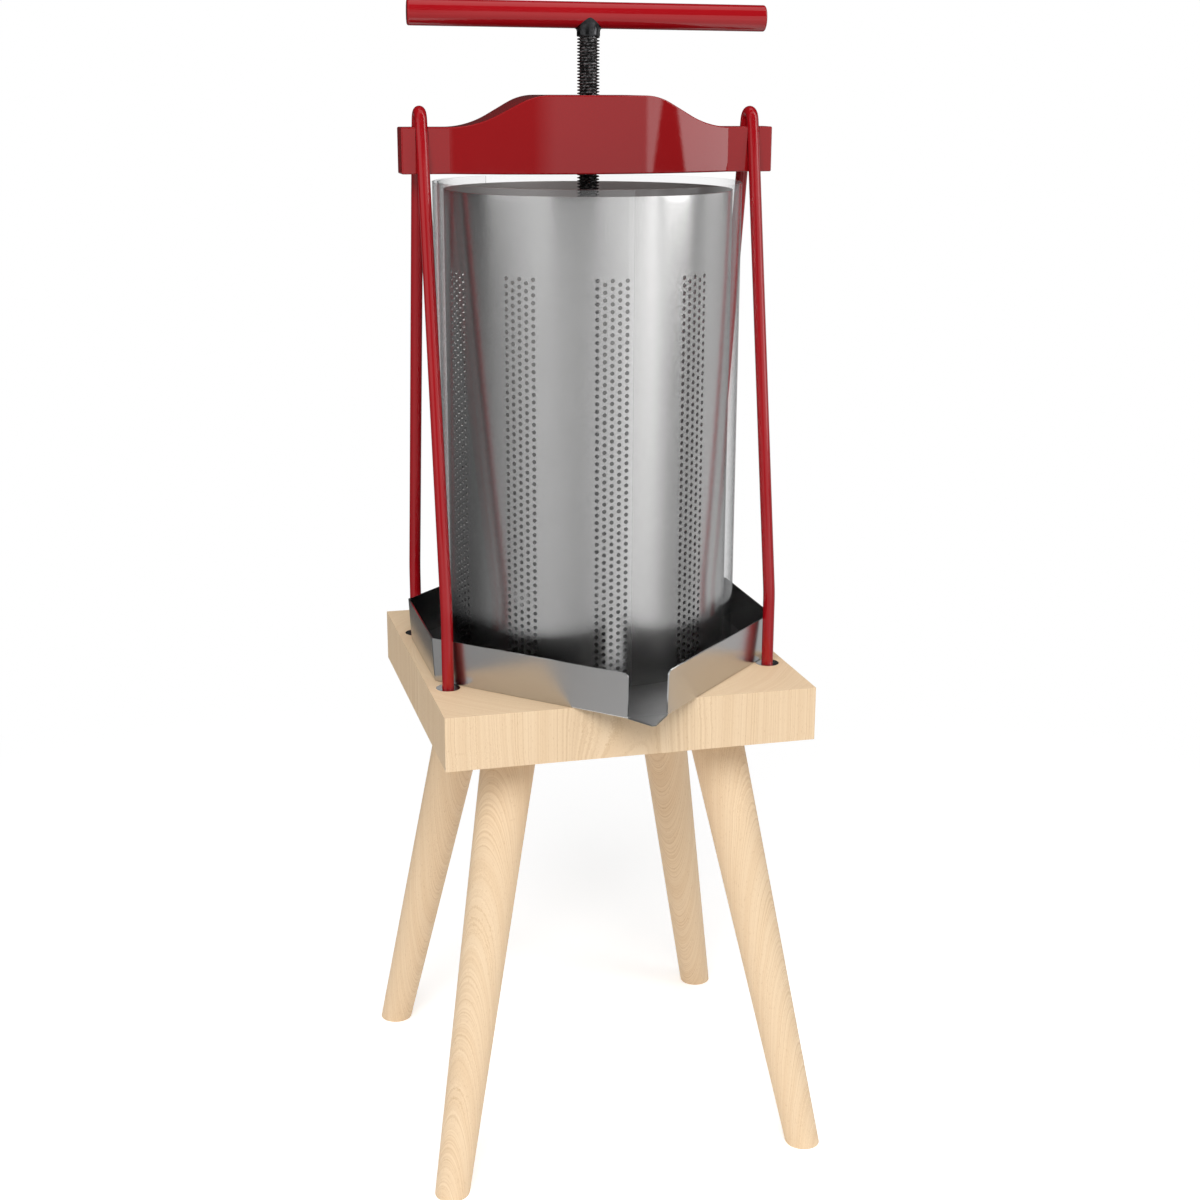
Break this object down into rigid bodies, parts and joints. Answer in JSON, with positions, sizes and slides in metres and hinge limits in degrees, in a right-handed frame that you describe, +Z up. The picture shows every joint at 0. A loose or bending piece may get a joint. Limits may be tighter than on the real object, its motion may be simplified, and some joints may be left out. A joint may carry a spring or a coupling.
{
  "type": "fruit press",
  "caption": "Upright screw fruit press: perforated steel basket with a clear splash guard in a spouted tray, screw with a T handle in a yoke held by bent rods, on a four legged wooden stand.",
  "frame": {"origin": "on the spindle's axis at floor level, midway between the four feet", "axes": "+Z up along the spindle, +X along the yoke, and -Y towards the tray's spout"},
  "size_m": [0.3468, 0.3844, 0.9733],
  "materials": {
    "beech": "sealed, satin",
    "red_enamel": "gloss",
    "satin_steel": "satin",
    "zinc_steel": "zinc plated",
    "bronze": "machined",
    "black_steel": "black oxide, oiled",
    "clear_film": "clear"
  },
  "bodies": {
    "stand": {"seat_board": "beech", "leg_front_left": "beech", "leg_front_right": "beech", "leg_back_left": "beech", "leg_back_right": "beech", "stirrup_left": "red_enamel", "stirrup_right": "red_enamel", "rod_discs": "zinc_steel", "rod_washers": "zinc_steel", "rod_nuts": "zinc_steel", "yoke": "red_enamel", "yoke_bush": "bronze", "basket": "satin_steel", "guard_film": "clear_film", "tray": "satin_steel"},
    "plate": {"press_plate": "satin_steel", "plate_hub": "satin_steel", "hub_fork": "zinc_steel", "fork_screws": "zinc_steel"},
    "screw": {"spindle": "black_steel", "handle_bar": "red_enamel"}
  },
  "joints": [
    {"name": "plate_slide", "type": "slide", "parent": "stand", "child": "plate", "axis": [0, 0, 1], "range_m": [-0.05, 0.31]},
    {"name": "spindle_turn", "type": "hinge", "parent": "plate", "child": "screw", "pos_m": [0, 0, 0.6], "axis": [0, 0, 1], "range_deg": [-7200, 44640]}
  ],
  "couplings": [
    {"joint": "plate_slide", "follows": "spindle_turn", "m_per_rad": 0.00039789}
  ]
}
